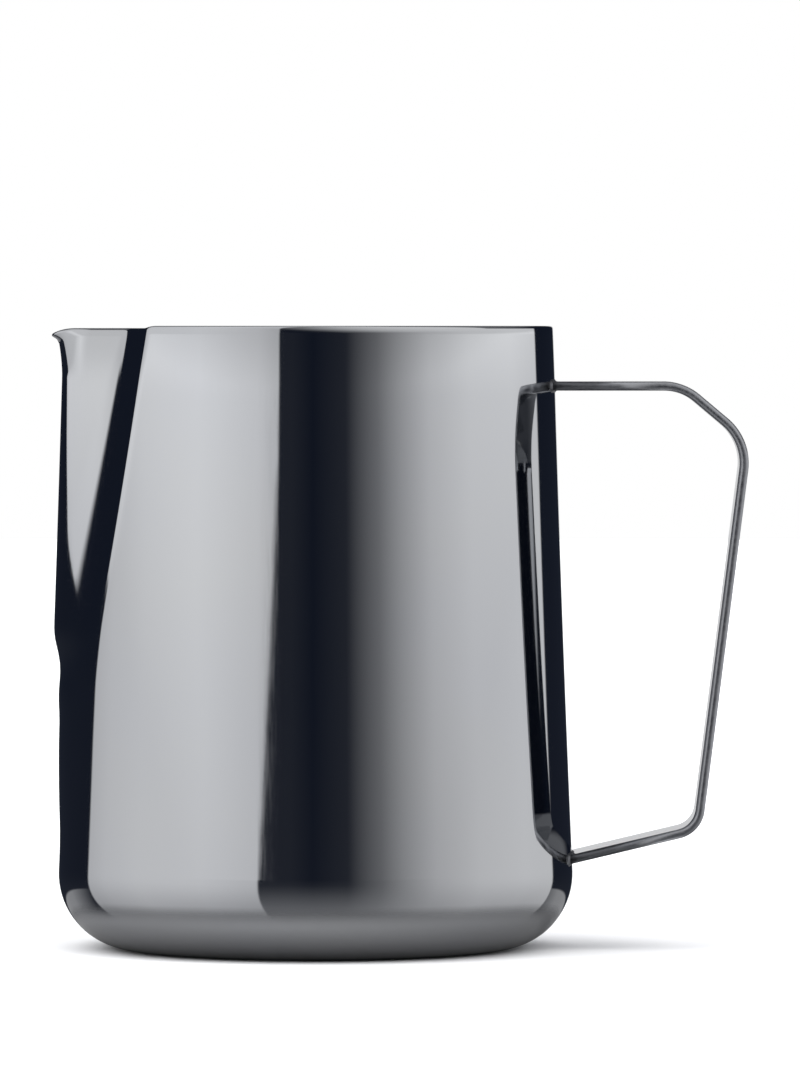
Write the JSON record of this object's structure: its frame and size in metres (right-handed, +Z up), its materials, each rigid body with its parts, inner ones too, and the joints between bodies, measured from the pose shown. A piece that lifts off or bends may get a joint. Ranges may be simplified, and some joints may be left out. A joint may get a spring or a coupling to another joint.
{
  "type": "milk frothing pitcher",
  "caption": "Drawn steel frothing pitcher, narrower at the rim, with a pressed V spout and a bent strap handle welded to its wall.",
  "frame": {"origin": "middle of the flat underside of the base", "axes": "+Z up, +X towards the handle, -X towards the pouring spout"},
  "size_m": [0.1231, 0.091, 0.11],
  "materials": {
    "body_metal": "mirror polished outside with a dark grey coating, satin inside",
    "handle_metal": "dark coated strip with tumbled edges",
    "weld_metal": "as welded, lightly brushed"
  },
  "bodies": {
    "root": {"body": "body_metal", "handle_strap": "handle_metal", "upper_weld_bead": "weld_metal", "lower_weld_bead": "weld_metal"}
  },
  "joints": []
}
